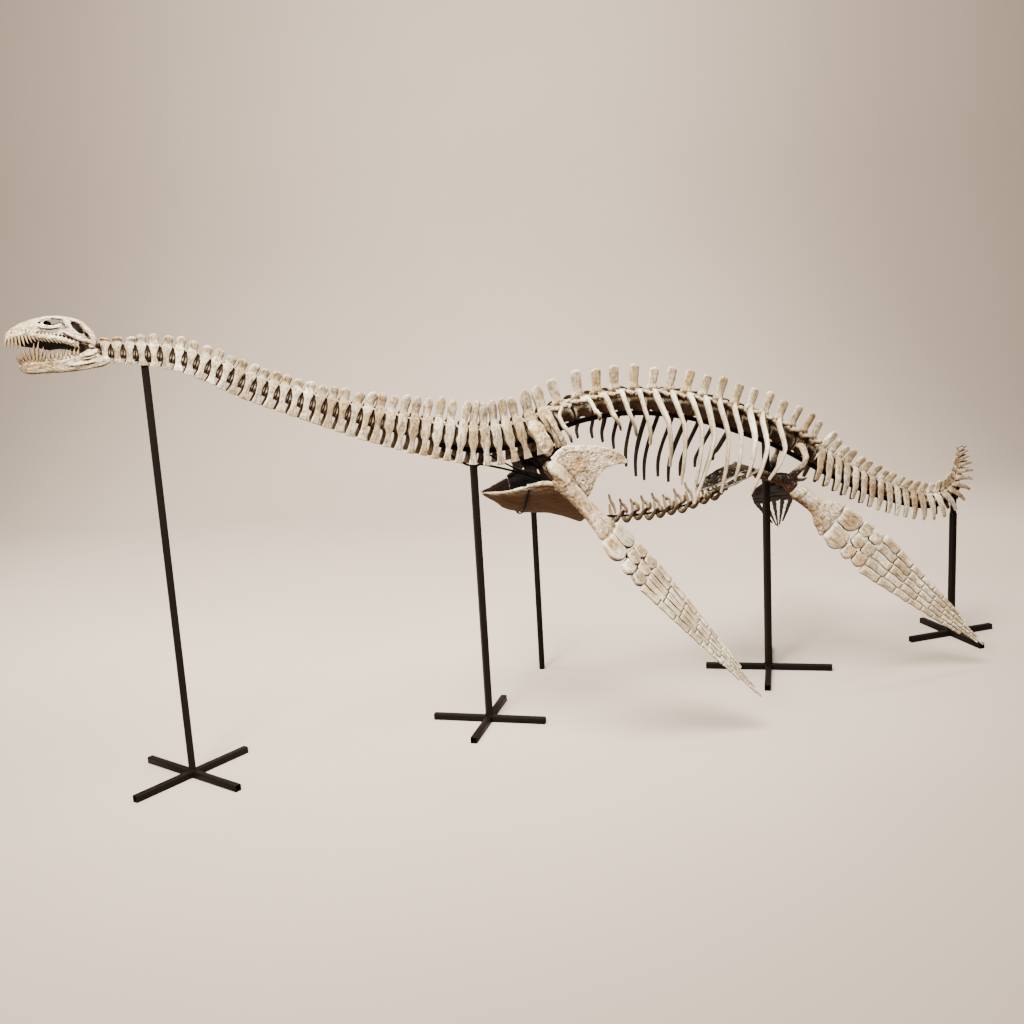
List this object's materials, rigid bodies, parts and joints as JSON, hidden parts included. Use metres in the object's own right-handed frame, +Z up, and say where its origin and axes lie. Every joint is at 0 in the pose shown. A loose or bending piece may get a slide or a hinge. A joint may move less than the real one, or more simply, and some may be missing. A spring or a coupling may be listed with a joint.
{
  "type": "mounted plesiosaur skeleton",
  "caption": "Long-necked marine reptile skeleton in a swimming pose, jaws open, carried by a bar under the backbone on slim steel stands.",
  "frame": {"origin": "centre of the hip stand's crossed foot, on the floor", "axes": "+X along the animal from head to tail, +Z up, the animal's left side towards -Y"},
  "size_m": [3.9603, 1.7537, 1.671],
  "materials": {
    "fossil_bone": "matte, porous, cream to tan with brown staining",
    "painted_steel": "satin black paint"
  },
  "bodies": {
    "root": {"belly_ribs": "fossil_bone", "collar_plate": "fossil_bone", "femur_left": "fossil_bone", "femur_right": "fossil_bone", "flipper_front_left": "fossil_bone", "flipper_front_right": "fossil_bone", "flipper_hind_left": "fossil_bone", "flipper_hind_right": "fossil_bone", "hip_vertebrae": "fossil_bone", "humerus_left": "fossil_bone", "humerus_right": "fossil_bone", "lower_jaw": "fossil_bone", "neck_front": "fossil_bone", "neck_middle": "fossil_bone", "neck_rear": "fossil_bone", "pelvis_left": "fossil_bone", "pelvis_right": "fossil_bone", "ribs_left": "fossil_bone", "ribs_right": "fossil_bone", "shoulder_left": "fossil_bone", "shoulder_right": "fossil_bone", "shoulder_vertebrae": "fossil_bone", "skull": "fossil_bone", "stand_bar_back": "painted_steel", "stand_bar_neck": "painted_steel", "stand_bar_tail": "painted_steel", "stand_belly_rod": "painted_steel", "stand_brace": "painted_steel", "stand_hip": "painted_steel", "stand_neck": "painted_steel", "stand_prop": "painted_steel", "stand_shoulder": "painted_steel", "stand_tail": "painted_steel", "tail_front": "fossil_bone", "tail_rear": "fossil_bone"}
  },
  "joints": []
}
